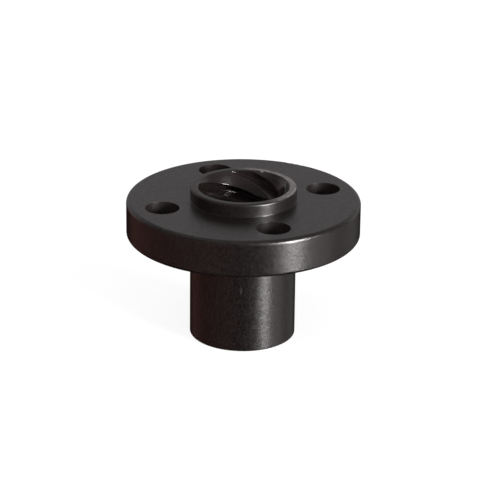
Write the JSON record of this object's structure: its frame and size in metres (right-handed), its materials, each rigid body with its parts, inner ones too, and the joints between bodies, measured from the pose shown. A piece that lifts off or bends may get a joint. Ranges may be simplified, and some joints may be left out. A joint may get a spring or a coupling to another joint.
{
  "type": "lead screw nut",
  "caption": "Black plastic flanged nut with a barrel below, a low boss above, bolt holes round the flange and a coarse multi-start trapezoidal thread right through.",
  "frame": {"origin": "centre of the barrel's end face, on the screw's axis", "axes": "+Z along the screw's axis from the barrel to the boss; +X and +Y through bolt holes"},
  "size_m": [0.022, 0.022, 0.0148],
  "materials": {
    "black_acetal": "satin black acetal with a fine even grain, smoother on the thread"
  },
  "bodies": {
    "root": {"nut": "black_acetal"}
  },
  "joints": []
}
